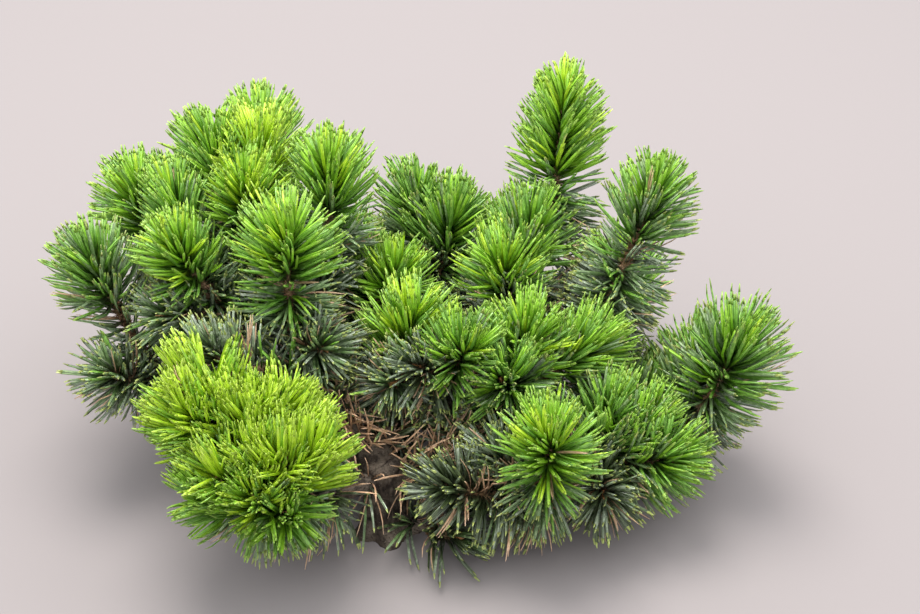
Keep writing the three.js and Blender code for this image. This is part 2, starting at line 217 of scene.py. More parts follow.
# The fresh needles' habit, and the length of shoot they cover: round brushes, with a few egg-shaped ones
HABITS = {
    "tall": (EGG, 46),
    "right_rear": (EGG, 30),
    "right_outer": (BROAD, 26),
    "left_side": (ROUND._replace(length_low=0.74, length_high=0.92), 26),
    "left_crown": (BROAD._replace(length_low=0.9, length_high=1.08), 24),
    "front_upper": (SHORT, 24),
    "front_lower": (SHORT, 24),
}
USUAL_HABIT = (ROUND, 26)

# How the needles of a zone vary, how they bend, and how the two needles of a pair stand apart
TURN_SWAY = 0.12
ROOT_SHARE = 0.7
CROWN_CURVE = 3
INCURVE = 0.2
LEAST_INCURVE = 0.02
BEND_SWAY = 0.05
LOCKS = 34
SPLAY_SWAY = 2
LEAST_SPLAY = 1.5
SHORTER_SHARE = 0.93
PAIR_GAP = 0.3
PAIR_CURL = 0.05

# How bright needles are: a base, a gain on their shoot's brightness, a rise along it, and how many have died
Grading = namedtuple("Grading", "base gain rise dead_share")
FRESH_GRADING = Grading(0.24, 0.68, 0.19, 0.003)
# the tired shoots' fresh needles take darker greens, down to gloom, as painted shade on the low shoots in the
# crown's shade; their dead needles are their own
SHADED_TIRED_GRADING = Grading(-0.06, 1, 0.19, 0.16)
OLD_GRADING = Grading(0.07, 0.36, 0.3, 0.08)
TIRED_OLD_GRADING = Grading(0, 0.36, 0.3, 0.38)
BAND_GRADING = Grading(0.1, 0.4, 0.1, 0.05)
BOUGH_OLD_GRADING = Grading(0.11, 0, 0.3, 0.12)
BOUGH_DEAD_GRADING = Grading(0.1, 0, 0, 1.2)
GRADE_SWAY = 0.11
DEAD_AT_FOOT = 1.6
DEAD = -1

# Six greens from old and dull to fresh and bright, as green, shade and pale; gloom, the darkest, is also
# painted shade
# the shade tone also paints shade at each needle's foot, and the pale tone paints highlights at its end and
# in sheen patches, beside its own pale lines and flecks
GREENS = {
    # gloom: partly the darkest old needles' own green and partly painted shade on the low, tired shoots in
    # the crown's shade
    "gloom": ((48, 64, 32), (24, 34, 16), (124, 142, 92)),
    "dusk": ((84, 104, 68), (42, 56, 38), (206, 218, 188)),
    "deep": ((80, 116, 52), (42, 70, 28), (184, 206, 146)),
    "leaf": ((96, 148, 36), (64, 114, 18), (164, 202, 106)),
    "grass": ((126, 180, 30), (90, 144, 14), (178, 212, 86)),
    "lime": ((168, 206, 26), (124, 168, 10), (200, 220, 84)),
}
GREEN_STEPS = (0.06, 0.2, 0.4, 0.6, 0.8)

# Needle tips, lighter than the needle as painted light on the needle ends: the first and the last green that
# they go with, and their tones
TIPS = {
    "old_tip": (0, 2, ((146, 160, 72), (108, 124, 50), (192, 198, 132))),
    "fresh_tip": (3, 4, ((140, 182, 60), (104, 146, 34), (180, 204, 110))),
    "lime_tip": (5, 5, ((170, 202, 56), (130, 168, 30), (198, 214, 104))),
}
STRAW = ((218, 174, 134), (156, 114, 84), (236, 210, 180))

# Needle finish: the greens up to this one are waxy and shine more, and the bump is in millimetres
LAST_WAXY_GREEN = 2
WAXY_SHEEN = 0.9
FRESH_SHEEN = 0.5
NEEDLE_BUMP = 0.15
NEEDLE_ROUGHNESS = (0.26, 0.42)

# Bark finishes: furrow, bark and pale tones, the flecks' scale, the bump in millimetres and what it follows
BARKS = {
    # shaded_old_bark, on the trunk and boughs: partly the old bark's own grey-brown and partly painted shade,
    # its tones darkened and its furrows near black for the shade under the crown
    "shaded_old_bark": ((20, 16, 13), (58, 49, 42), (120, 108, 95), 620, 0.5, "limb"),
    "young_bark": ((48, 36, 26), (104, 80, 54), (140, 120, 88), 700, 0.3, "limb"),
    "peg_brown": ((52, 40, 32), (96, 80, 64), (140, 124, 98), 800, 0.2, "spray"),
    "scale_brown": ((78, 54, 40), (134, 98, 74), (182, 152, 124), 800, 0.2, "spray"),
    "bud_brown": ((120, 76, 46), (172, 122, 76), (214, 176, 124), 900, 0.3, "spray"),
}
BARK_SHEEN = 0.2
BARK_ROUGHNESS = (0.8, 0.98)
BUMP_STRENGTH = 0.7

# Each finish's tones in turn: towards which, by which mask, where that starts and is full, and the most of it
NEEDLE_TINTS = [
    ("Shade", "patch", 0.42, 0.68, 1.0),
    ("Pale", "line", 0.2, 1.0, 0.32),
    # painted shade: the needle's foot drawn towards its shade tone, where shade falls inside the brush
    ("Shade", "along", 0.6, 0.0, 0.6),
    # painted highlight: the needle's end drawn towards its pale tone, where light catches it
    ("Pale", "along", 0.55, 1.0, 0.2),
    # painted sheen: pale patches along the needles that stand for the waxy surface's highlights
    ("Pale", "painted_sheen", 0.5, 0.66, 0.36),
    ("Pale", "fine", 0.62, 0.8, 0.34),
]
BARK_TINTS = [
    ("Pale", "drift", 0.4, 0.7, 1.0),
    ("Pale", "fleck", 0.22, 0.1, 0.8),
    ("Furrow", "grain", 0.46, 0.3, 0.85),
    ("Furrow", "plate", 0.5, 0.05, 0.75),
]

# Scales of the masks, to a metre, and the pale lines round a needle, in radians
PATCH_SCALE = 160
# the painted sheen's patches: pale patches that stand for highlights on the needles
PAINTED_SHEEN_SCALE = 420
FINE_SCALE = 1400
DRIFT_SCALE = 90
GRAIN_SCALE = 1100
LINE_TURNS = 31.4

# The sockets of a Mix node that hold its share, its two colours and its result
MIX_SHARE = 0
MIX_FROM = 6
MIX_TO = 7
MIX_RESULT = 2

# Relief of a limb's bark: sides, gap of its rings, size of its plates, depth, and how far its foot is swollen
Relief = namedtuple("Relief", "sides ring_gap plate_size depth collar")
TRUNK_RELIEF = Relief(96, 0.8, 4.2, 0.75, 0)
TRUNK_SEED = 3
DOME_RINGS = (0, 1.2, 2.4, 3.4)
BOUGH_RELIEF = Relief(18, 1.5, 3.2, 0.15, 0.3)
DEPTH_GAIN = 0.055
THICK_BOUGH = 4.2
THICK_SIDES = 28
SHOOT_RELIEF = Relief(10, 1.6, 1.9, 0.35, 0.15)
FIRST_SHOOT_SEED = 40
COLLAR_RUN = 5
LEAST_RINGS = 4

# Bark plates: stretched along the limb, warped, sunk at their furrows, and rough with flakes
PLATE_STRETCH = 0.35
WARP = 0.7
WARP_SCALE = 0.8
FURROW_WIDTH = 0.3
PLATE_SINK = 0.6
FLAKE_SCALE = 3
FLAKE_DEPTH = 0.9
FLAKE_SHARE = 0.4
FLAKE_MIDDLE = 0.5

# Sprays of small scales: stretch covered and length in millimetres, and tilt in degrees
Spray = namedtuple("Spray", "run count tilt length")
FORK_SCALES = Spray(5, 34, 50, 3.6)
BAND_TILT = 60
BAND_LENGTH = 3.3
BAND_OVERLAP = 0.5
SCALES_PER_MM = 8
TIP_SCALES = Spray(3, 16, 24, 3.4)
SCALE_WIDTH = 1.5
PEGS_PER_MM = 1.6
PEG_START = 0.12
PEG_TILT = 56
BOUGH_PEG = 3.2
SHOOT_PEG = 3.0
PEG_WIDTH = 1.3
SCALE_TURN_SWAY = 0.2
SCALE_TILT_SWAY = 12
SCALE_ROOT_SHARE = 0.8
SCALE_LENGTHS = (0.7, 1.2)

# A scale's shape, as shares of its width and length
SCALE_BREADTH = 1.4
SCALE_THICKNESS = 0.35
SCALE_CURL = 0.5

# Buds: a main one at each shoot's tip, seated in it, and smaller ones round it
BUD_SEAT = 0.8
MAIN_BUD_LENGTH = 5.5
MAIN_BUD_WIDTH = 3.0
SIDE_BUDS = 3
SIDE_BUD_OUT = 1.2
SIDE_BUD_TILTS = (22, 34)
SIDE_BUD_LENGTHS = (2.8, 3.8)
SIDE_BUD_WIDTHS = (1.7, 2.1)

# A bud's shape: how low and how full its belly is, and the spiral steps of its scales
BUD_BELLY = 0.75
BUD_FULLNESS = 0.8
BUD_STEP = 0.16
BUD_SPIRALS = 3
BUD_TWIST = 14

# Section of a small shape: the height its turn is measured from, and the angle past which an edge is sharp
SECTION_MIDDLE = 0.2
SHARP_ANGLE = math.radians(105)

# Floor, sky and lights: place, size, power and tint of each light, in metres and watts
FLOOR = (126, 119, 118)
FLOOR_ROUGHNESS = 0.9
FLOOR_REACH = 20
SKY = (0.94, 0.97, 1.0, 1.0)
SKY_LOW = 1.0
SKY_HIGH = 2.7
HAZE = (190, 188, 188)
LIGHT_AIM = (0.02, 0.05, 0.08)
LIGHTS = {
    "key": ((-0.15, 0.45, 1.7), 1.1, 42, (1.0, 0.98, 0.95)),
    "fill": ((1.2, 0.4, 1.4), 1.2, 6, (0.96, 0.98, 1.0)),
}

# The camera stands in front of the plant and looks down on it, as the photograph's does
CAMERA_AIM = Vector((0.039, 0.068, 0.094))
CAMERA_DISTANCE = 0.95
CAMERA_ELEVATION = math.radians(36)
LENS = 70
SENSOR_WIDTH = 36

Line = namedtuple("Line", "points reached tangents side length")
Limb = namedtuple("Limb", "line base tip")
Template = namedtuple("Template", "places corners starts uvs")


def unit(vectors):
    return vectors / np.maximum(np.linalg.norm(vectors, axis=-1, keepdims=True), 1e-12)


def square_to(aim, out):
    """The way out, made square to the aim."""
    return unit(out - aim * (out * aim).sum(-1, keepdims=True))


def mix(a, b, share):
    return a + (b - a) * share


def direction(heading, lean):
    turn = math.radians(heading)
    tilt = math.radians(lean)
    level = math.sin(tilt)
    return np.array([level * math.cos(turn), level * math.sin(turn), math.cos(tilt)])


def line_through(points):
    """A limb's line, walked by its share of length."""
    reached = np.concatenate([[0], np.cumsum(np.linalg.norm(np.diff(points, axis=0), axis=1))])
    tangents = unit(np.gradient(points, reached, axis=0))
    side = unit(np.cross(UP, points[-1] - points[0]))
    return Line(points, reached, tangents, side, reached[-1])


def growth_line(start, heading, lean, length, sag):
    """The line that a limb grows along: it leaves low and turns up towards its tip."""
    tip = start + direction(heading, lean) * length * MM
    middle = (start + tip) / 2 - UP * sag * length * MM
    middle[2] = max(middle[2], min(start[2], tip[2]))
    steps = np.linspace(0, 1, LINE_STEPS + 1)[:, None]
    return line_through((1 - steps) ** 2 * start + 2 * steps * (1 - steps) * middle + steps**2 * tip)


def walk(line, shares):
    """The points at these shares of a line, with the line's own directions there: on, across and aside."""
    reach = np.atleast_1d(shares) * line.length
    point = np.stack([np.interp(reach, line.reached, line.points[:, i]) for i in range(3)], -1)
    on = unit(np.stack([np.interp(reach, line.reached, line.tangents[:, i]) for i in range(3)], -1))
    aside = np.broadcast_to(line.side, point.shape)
    return point, on, np.cross(on, aside), aside


def grow_limbs():
    """The trunk and the boughs, each from its parent's line."""
    head = direction(TRUNK["heading"], TRUNK["lean"]) * TRUNK["height"] * MM
    steps = np.linspace(0, 1, LINE_STEPS + 1)[:, None]
    limbs = {"trunk": Limb(line_through(steps * head), TRUNK["base"], TRUNK["top"])}
    for name, (parent, share, heading, lean, length, base, tip) in BOUGHS.items():
        start = walk(limbs[parent].line, share)[0][0]
        limbs[name] = Limb(growth_line(start, heading, lean, length, LIMB_SAG), base, tip)
    return limbs


def fork_of(line):
    """Where a bough's shoots part, past its tip."""
    return line.points[-1] + line.tangents[-1] * STEM * MM


def grow_shoots(limbs):
    """The shoots that leave each mass's fork, with their brightness."""
    grown = {}
    for name, (bough, shoots) in MASSES.items():
        fork = fork_of(limbs[bough].line)
        grown[name] = [(growth_line(fork, *course, SHOOT_SAG), brightness) for *course, brightness in shoots]
    return grown


limbs = grow_limbs()
masses = grow_shoots(limbs)
shoot_lines = [line for shoots in masses.values() for line, _ in shoots]


def line_probes(line):
    return walk(line, np.linspace(0, 1, LINE_PROBES + 1))[0]


def gaps_to(points, others, thickness=0.0):
    """The distance from each point to the nearest of the others, less their thickness."""
    if len(others) == 0:
        return np.full(len(points), np.inf)
    squares = (points**2).sum(1)[:, None] + (others**2).sum(1)[None] - 2 * points @ others.T
    return (np.sqrt(np.maximum(squares, 0)) - thickness).min(1)


limb_probes = {name: line_probes(limb.line) for name, limb in limbs.items()}
limb_radii = {name: np.full(LINE_PROBES + 1, max(limb.base, limb.tip) * MM) for name, limb in limbs.items()}
shoot_probes = {name: [line_probes(line) for line, _ in shoots] for name, shoots in masses.items()}


def stack(parts):
    return np.concatenate(parts) if len(parts) else NO_PLACES


def keeps_to_space(needles, own, siblings, others, own_limb=None):
    """Which needles keep above the ground, off the limbs, and to their own side of the neighbours."""
    names = [name for name in limbs if name != own_limb]
    wood = stack([limb_probes[name] for name in names])
    thickness = np.concatenate([limb_radii[name] for name in names])
    keep = np.ones(len(needles["root"]), bool)
    for share in NEEDLE_PROBES:
        point = needle_point(needles, share)
        reach = gaps_to(point, own)
        keep &= point[:, 2] > GROUND_CLEARANCE * MM
        keep &= gaps_to(point, wood, thickness[None]) > LIMB_CLEARANCE * MM
        keep &= reach - SIBLING_OVERLAP * MM < gaps_to(point, siblings)
        keep &= reach - NEIGHBOUR_OVERLAP * MM < gaps_to(point, others)
    return keep


def needle_point(needles, share):
    run = needles["root"] + needles["aim"] * (needles["length"] * share)[:, None]
    return run + needles["bend"] * share**2


def pair_bends(zone, through, on, middle):
    """How far each pair bends from straight: inwards, upwards, and towards its lock."""
    incurve = on * (INCURVE * (1 - through) + LEAST_INCURVE)[:, None] + UP * zone.lift
    locks = unit(random.normal(0, 1, (LOCKS, 3)))
    together = zone.lock_pull * (locks[(middle @ locks.T).argmax(1)] - middle)
    return incurve + together + random.normal(0, BEND_SWAY, (len(through), 3))


def needle_pairs(line, radius, first, last, zone, turn):
    """Pairs of needles in a golden spiral along a stretch of a shoot, both needles of a pair in turn."""
    count = max(1, round(zone.pairs_per_mm * (last - first) * line.length / MM))
    through = (np.arange(count) + 0.5) / count
    shares = mix(first, last, through)
    point, on, across, aside = walk(line, shares)
    angle = (turn + GOLDEN_ANGLE * np.arange(count) + random.normal(0, TURN_SWAY, count))[:, None]
    out = np.cos(angle) * across + np.sin(angle) * aside
    closing = mix(zone.open_first, zone.open_last, through**zone.curve)
    opening = np.radians(closing + random.normal(0, zone.sway, count))[:, None]
    middle = np.cos(opening) * on + np.sin(opening) * out
    round_about = unit(np.cross(middle, on))
    roll = random.uniform(0, math.tau, count)[:, None]
    apart = np.cos(roll) * round_about + np.sin(roll) * np.cross(round_about, middle)
    root = point + out * (mix(*radius, shares) * MM * ROOT_SHARE)[:, None]
    pair_length = random.uniform(zone.length_low, zone.length_high, count) * NEEDLE_LENGTH * MM
    pair_length = pair_length * mix(1, zone.crown, through**CROWN_CURVE)
    pair_bend = pair_bends(zone, through, on, middle) * pair_length[:, None]
    splay = np.radians(np.maximum(random.normal(zone.splay, SPLAY_SWAY, count), LEAST_SPLAY))[:, None]
    both = []
    for hand in (-1, 1):
        length = pair_length * random.uniform(SHORTER_SHARE, 1.0, count)
        aim = np.cos(splay) * middle + hand * np.sin(splay) * apart
        needles = {
            "root": root + apart * hand * PAIR_GAP * MM,
            "aim": aim,
            "out": square_to(aim, hand * apart),
            "length": length,
            "bend": pair_bend - hand * apart * PAIR_CURL * length[:, None],
            "through": through,
        }
        both.append(needles)
    return merge(both)


def pick(needles, chosen):
    return {key: value[chosen] for key, value in needles.items()}


def merge(groups):
    return {key: np.concatenate([group[key] for group in groups]) for key in groups[0]}


def grade(needles, grading, brightness=0):
    """Give each pair its green, as a step from dull to bright, or mark it dead."""
    half = len(needles["root"]) // 2
    jitter = np.tile(random.normal(0, GRADE_SWAY, half), 2)
    rise = grading.rise * (needles["through"] - 0.5)
    score = grading.base + grading.gain * brightness + rise + jitter
    dead_share = grading.dead_share * (DEAD_AT_FOOT - DEAD_AT_FOOT * needles["through"])
    dead = np.tile(random.random(half), 2) < dead_share
    needles["grade"] = np.where(dead, DEAD, np.digitize(score, GREEN_STEPS))


def zone_ends(name, line):
    """Where a shoot's old needles stop, and where its fresh ones start, as shares of its length."""
    length = line.length / MM
    fresh = 1 - min(HABITS.get(name, USUAL_HABIT)[1], FRESH_SHARE * length) / length
    return max(fresh - SCALE_BANDS.get(name, USUAL_SCALE_BAND) / length, OLD_START), fresh


def grow_shoot_needles(name):
    """A mass's needles: old and fresh ones on each shoot, and sparse ones on the band between them."""
    grown = []
    others = stack([probes for other, rows in shoot_probes.items() if other != name for probes in rows])
    for index, (line, brightness) in enumerate(masses[name]):
        siblings = stack([probes for i, probes in enumerate(shoot_probes[name]) if i != index])
        old_end, fresh_start = zone_ends(name, line)
        turn = random.uniform(0, math.tau)
        tired = brightness < TIRED_BELOW
        habit = TIRED if tired else HABITS.get(name, USUAL_HABIT)[0]
        fresh = needle_pairs(line, SHOOT_RADII, fresh_start, 1, habit, turn)
        old = needle_pairs(line, SHOOT_RADII, OLD_START, old_end, OLD, turn)
        band = needle_pairs(line, SHOOT_RADII, old_end, fresh_start, SPARSE, turn)
        grade(fresh, SHADED_TIRED_GRADING if tired else FRESH_GRADING, brightness)
        grade(old, TIRED_OLD_GRADING if tired else OLD_GRADING, brightness)
        grade(band, BAND_GRADING, brightness)
        for needles in (fresh, old, band):
            keep = keeps_to_space(needles, shoot_probes[name][index], siblings, others)
            grown.append(pick(needles, keep))
    return grown


def grow_bough_needles(name, limb, tips):
    """A bough's needles: old ones past its bare foot, and dead ones that still hang there."""
    grown = []
    bare = BARE_SHARE.get(name, USUAL_BARE_SHARE)
    radii = (limb.base, limb.tip)
    others = np.concatenate([tips, *[probes for other, probes in limb_probes.items() if other != name]])
    old = needle_pairs(limb.line, radii, bare, 1, BOUGH_OLD, 0)
    grade(old, BOUGH_OLD_GRADING)
    dead_end = min(bare + DEAD_RUN, 1) if name in DEAD_BOUGHS else DEAD_END * bare
    dead = needle_pairs(limb.line, radii, DEAD_START * bare, dead_end, BOUGH_DEAD, 0)
    grade(dead, BOUGH_DEAD_GRADING)
    for needles in (old, dead):
        keep = keeps_to_space(needles, limb_probes[name], NO_PLACES, others, name)
        grown.append(pick(needles, keep))
    return grown


def grow_needles():
    """Every needle of the plant, on the shoots first and then down the boughs."""
    grown = []
    for name in masses:
        grown += grow_shoot_needles(name)
    tips = stack([probes for rows in shoot_probes.values() for probes in rows])
    for name, limb in limbs.items():
        if name != "trunk":
            grown += grow_bough_needles(name, limb, tips)
    return merge(grown)


def colour(rgb):
    """A screen colour from 0 to 255 as the shader's linear one."""
    shares = [c / 255 for c in rgb]
    return (*[s / 12.92 if s <= 0.04045 else ((s + 0.055) / 1.055) ** 2.4 for s in shares], 1.0)


class Nodes:
    """A short way to place nodes in a tree and link them."""

    def __init__(self, tree):
        self.tree = tree

    def add(self, kind, inputs=(), **settings):
        node = self.tree.nodes.new(kind)
        for key, value in settings.items():
            setattr(node, key, value)
        for socket, value in dict(inputs).items():
            if isinstance(value, bpy.types.NodeSocket):
                self.tree.links.new(value, node.inputs[socket])
            else:
                node.inputs[socket].default_value = value
        return node


def ranged(nodes, value, low, high, to_low=0.0, to_high=1.0):
    inputs = {"Value": value, "From Min": low, "From Max": high, "To Min": to_low, "To Max": to_high}
    return nodes.add("ShaderNodeMapRange", inputs).outputs["Result"]


def noise_value(nodes, place, scale, detail=2.0):
    inputs = {"Vector": place, "Scale": scale, "Detail": detail}
    return nodes.add("ShaderNodeTexNoise", inputs).outputs["Fac"]


def new_tone_group(name, inputs, tones):
    """An empty effect group with these inputs and tones, which puts out colour, roughness and height."""
    kinds = {**inputs, **{tone: "NodeSocketColor" for tone in tones}}
    results = {"Color": "NodeSocketColor", "Roughness": "NodeSocketFloat", "Height": "NodeSocketFloat"}
    tree = bpy.data.node_groups.new(name, "ShaderNodeTree")
    for way, sockets in (("INPUT", kinds), ("OUTPUT", results)):
        for socket, kind in sockets.items():
            tree.interface.new_socket(name=socket, in_out=way, socket_type=kind)
    nodes = Nodes(tree)
    return nodes, nodes.add("NodeGroupInput").outputs


def tint_in_turn(nodes, given, first, tints, masks):
    """The first tone, drawn towards each of the tints by its mask."""
    tone = given[first]
    for towards, mask, start, full, most in tints:
        share = ranged(nodes, masks[mask], start, full, 0.0, most)
        inputs = {MIX_SHARE: share, MIX_FROM: tone, MIX_TO: given[towards]}
        tone = nodes.add("ShaderNodeMix", inputs, data_type="RGBA").outputs[MIX_RESULT]
    return tone


def needle_tone_group():
    """Patches of shade over the spray, pale lines and flecks along the needle, painted shade at the foot, a
    painted highlight at the end and patches of painted sheen.
    """
    inputs = {"Place": "NodeSocketVector", "Along": "NodeSocketFloat", "Round": "NodeSocketFloat"}
    nodes, given = new_tone_group("needle_tone", inputs, ("Green", "Shade", "Pale"))
    wave = nodes.add("ShaderNodeMath", {0: given["Round"], 1: LINE_TURNS}, operation="MULTIPLY").outputs[0]
    line = nodes.add("ShaderNodeMath", {0: wave}, operation="SINE").outputs[0]
    fine = noise_value(nodes, given["Place"], FINE_SCALE)
    masks = {
        "patch": noise_value(nodes, given["Place"], PATCH_SCALE),
        "line": line,
        "along": given["Along"],
        # painted sheen: noise patches where the needles are drawn towards their pale tone
        "painted_sheen": noise_value(nodes, given["Place"], PAINTED_SHEEN_SCALE),
        "fine": fine,
    }
    results = {
        "Color": tint_in_turn(nodes, given, "Green", NEEDLE_TINTS, masks),
        "Roughness": ranged(nodes, fine, 0.3, 0.7, *NEEDLE_ROUGHNESS),
        "Height": nodes.add("ShaderNodeMath", {0: line, 1: fine}, operation="ADD").outputs[0],
    }
    nodes.add("NodeGroupOutput", results)
    return nodes.tree


def bark_tone_group():
    """Plates with dark furrows between them, speckled with pale flecks and dark pits."""
    inputs = {"Place": "NodeSocketVector", "Plate": "NodeSocketFloat", "Fleck Scale": "NodeSocketFloat"}
    nodes, given = new_tone_group("bark_tone", inputs, ("Furrow", "Bark", "Pale"))
    fleck = nodes.add("ShaderNodeTexVoronoi", {"Vector": given["Place"], "Scale": given["Fleck Scale"]})
    grain = noise_value(nodes, given["Place"], GRAIN_SCALE, 4.0)
    masks = {
        "drift": noise_value(nodes, given["Place"], DRIFT_SCALE, 3.0),
        "fleck": fleck.outputs["Distance"],
        "grain": grain,
        "plate": given["Plate"],
    }
    results = {
        "Color": tint_in_turn(nodes, given, "Bark", BARK_TINTS, masks),
        "Roughness": ranged(nodes, grain, 0.2, 0.8, *BARK_ROUGHNESS),
        "Height": nodes.add("ShaderNodeMath", {0: grain, 1: given["Plate"]}, operation="ADD").outputs[0],
    }
    nodes.add("NodeGroupOutput", results)
    return nodes.tree


needle_tone = needle_tone_group()
bark_tone = bark_tone_group()


def finish_material(name, group, inputs, specular, bump_depth, follows):
    """A material whose colour, roughness and bump come from an effect group."""
    material = bpy.data.materials.new(name)
    material.use_nodes = True
    material.node_tree.nodes.clear()
    nodes = Nodes(material.node_tree)
    given = {"Place": nodes.add("ShaderNodeTexCoord").outputs["Object"], **inputs}
    if follows == "needle":
        way_round = nodes.add("ShaderNodeUVMap", uv_map="needle").outputs["UV"]
        split = nodes.add("ShaderNodeSeparateXYZ", {"Vector": way_round})
        given.update({"Round": split.outputs["X"], "Along": split.outputs["Y"]})
    if follows == "limb":
        given["Plate"] = nodes.add("ShaderNodeAttribute", attribute_name="plate").outputs["Fac"]
    effect = nodes.add("ShaderNodeGroup", given, node_tree=group)
    relief = {"Height": effect.outputs["Height"], "Distance": bump_depth * MM, "Strength": BUMP_STRENGTH}
    shader = nodes.add(
        "ShaderNodeBsdfPrincipled",
        {
            "Base Color": effect.outputs["Color"],
            "Roughness": effect.outputs["Roughness"],
            "Normal": nodes.add("ShaderNodeBump", relief).outputs["Normal"],
            "Specular IOR Level": specular,
        },
    )
    nodes.add("ShaderNodeOutputMaterial", {"Surface": shader.outputs["BSDF"]})
    return material


def needle_material(name, tones, sheen=FRESH_SHEEN):
    inputs = dict(zip(("Green", "Shade", "Pale"), (colour(tone) for tone in tones)))
    return finish_material(name, needle_tone, inputs, sheen, NEEDLE_BUMP, "needle")


def bark_material(name, furrow, bark, pale, fleck_scale, bump_depth, follows):
    inputs = {"Furrow": colour(furrow), "Bark": colour(bark), "Pale": colour(pale)}
    inputs.update({"Fleck Scale": fleck_scale, "Plate": 1.0})
    return finish_material(name, bark_tone, inputs, BARK_SHEEN, bump_depth, follows)


def as_template(bm):
    """A small shape's vertices, faces and, for each face corner, its way round and along the shape."""
    bmesh.ops.recalc_face_normals(bm, faces=bm.faces)
    bm.verts.index_update()
    places = np.array([v.co for v in bm.verts])
    corners = np.array([v.index for face in bm.faces for v in face.verts])
    sizes = np.array([len(face.verts) for face in bm.faces])
    starts = np.concatenate([[0], np.cumsum(sizes)[:-1]])
    turn = np.arctan2(places[:, 1] - SECTION_MIDDLE, places[:, 0]) / math.tau + 0.5
    uvs = np.stack([turn[corners], places[corners, 2]], -1)
    bm.free()
    return Template(places, corners, starts, uvs)


def new_prism(bm, sides, rings):
    """A tube of unit radius round Z, one unit long, with rings of faces along it."""
    bmesh.ops.create_cone(bm, cap_ends=True, cap_tris=False, segments=sides, radius1=1, radius2=1, depth=1)
    uprights = [e for e in bm.edges if abs(e.verts[0].co.z - e.verts[1].co.z) > 0.5]
    if rings > 1:
        bmesh.ops.subdivide_edges(bm, edges=uprights, cuts=rings - 1, use_grid_fill=True)


def needle_shape(first, last, rings):
    """A stretch of needle, flat on one side and rounded on the other, from one share of it to another."""
    bm = bmesh.new()
    new_prism(bm, 3, rings)
    for v in bm.verts:
        z = mix(first, last, v.co.z + 0.5)
        width = np.interp(z, *zip(*NEEDLE_OUTLINE))
        corner = (math.copysign(0.5, v.co.x), 0) if abs(v.co.x) > 0.5 else (0, NEEDLE_THICKNESS)
        v.co = (corner[0] * width, corner[1] * width, z)
    return as_template(bm)


def scale_shape():
    """A papery bud scale, pointed and curled a little outwards."""
    bm = bmesh.new()
    bmesh.ops.create_cone(bm, cap_ends=True, cap_tris=False, segments=4, radius1=0.5, radius2=0, depth=1)
    for v in bm.verts:
        z = v.co.z + 0.5
        v.co = (v.co.x * SCALE_BREADTH, v.co.y * SCALE_THICKNESS + SCALE_CURL * z, z)
    return as_template(bm)


def scatter(name, template, needles, width, material):
    """Copies of a small shape, one at each place, joined as one mesh piece."""
    count = len(needles["root"])
    size = len(template.places)
    x, y, z = (template.places[None, :, i, None] for i in range(3))
    aim, out = needles["aim"][:, None], needles["out"][:, None]
    wide = np.cross(needles["aim"], needles["out"])[:, None]
    thick = np.broadcast_to(width, count)[:, None, None] * MM
    length = needles["length"][:, None, None]
    places = needles["root"][:, None] + aim * z * length + (wide * x + out * y) * thick
    places = places + needles["bend"][:, None] * z**2
    shift = np.arange(count)[:, None]
    corners = template.corners[None] + shift * size
    starts = template.starts[None] + shift * len(template.corners)
    mesh = bpy.data.meshes.new(name)
    mesh.vertices.add(count * size)
    mesh.vertices.foreach_set("co", places.astype(np.float32).ravel())
    mesh.loops.add(corners.size)
    mesh.loops.foreach_set("vertex_index", corners.astype(np.int32).ravel())
    mesh.polygons.add(starts.size)
    mesh.polygons.foreach_set("loop_start", starts.astype(np.int32).ravel())
    mesh.update(calc_edges=True)
    uv = mesh.uv_layers.new(name="needle")
    uv.uv.foreach_set("vector", np.tile(template.uvs, (count, 1)).astype(np.float32).ravel())
    mesh.polygons.foreach_set("use_smooth", np.ones(starts.size, bool))
    mesh.set_sharp_from_angle(angle=SHARP_ANGLE)
    return add_piece(name, mesh, material)


def add_piece(name, mesh, material):
    mesh.materials.append(material)
    piece = bpy.data.objects.new(name, mesh)
    bpy.context.scene.collection.objects.link(piece)
    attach(piece, "root")
    return piece


def bark_height(radius, angle, along, seed, relief):
    """How far the bark stands out at a place on a limb, and how far inside a plate that is, from 0 to 1."""
    place = Vector((radius * math.cos(angle), radius * math.sin(angle), along * PLATE_STRETCH))
    spot = place / (relief.plate_size * MM) + Vector((seed, 0, 0))
    warped = spot + WARP * noise.noise_vector(spot * WARP_SCALE)
    near = noise.voronoi(warped)[0]
    plate = min((near[1] - near[0]) / FURROW_WIDTH, 1)
    flake = noise.noise(spot * FLAKE_SCALE)
    height = relief.depth * MM * (plate - PLATE_SINK + FLAKE_DEPTH * flake)
    return height, mix(plate, FLAKE_MIDDLE + flake, FLAKE_SHARE)


def barked_tube(whole, limb, relief, seed):
    """A limb: a tube bent along its line, with the bark's relief pressed into it, joined to the whole."""
    bm = bmesh.new()
    plate_layer = bm.verts.layers.float.new("plate")
    new_prism(bm, relief.sides, max(LEAST_RINGS, round(limb.line.length / (relief.ring_gap * MM))))
    shares = np.array([v.co.z + 0.5 for v in bm.verts])
    point, on, across, aside = walk(limb.line, shares)
    for i, v in enumerate(bm.verts):
        angle = math.atan2(v.co.y, v.co.x)
        along = shares[i] * limb.line.length
        swell = relief.collar * math.exp(-along / (COLLAR_RUN * MM))
        radius = mix(limb.base, limb.tip, shares[i]) * MM * (1 + swell)
        lift, plate = bark_height(radius, angle, along, seed, relief)
        out = math.cos(angle) * across[i] + math.sin(angle) * aside[i]
        v.co = point[i] + out * (radius + lift)
        v[plate_layer] = plate
    limb_mesh = bpy.data.meshes.new("limb")
    bm.to_mesh(limb_mesh)
    bm.free()
    whole.from_mesh(limb_mesh)
    bpy.data.meshes.remove(limb_mesh)


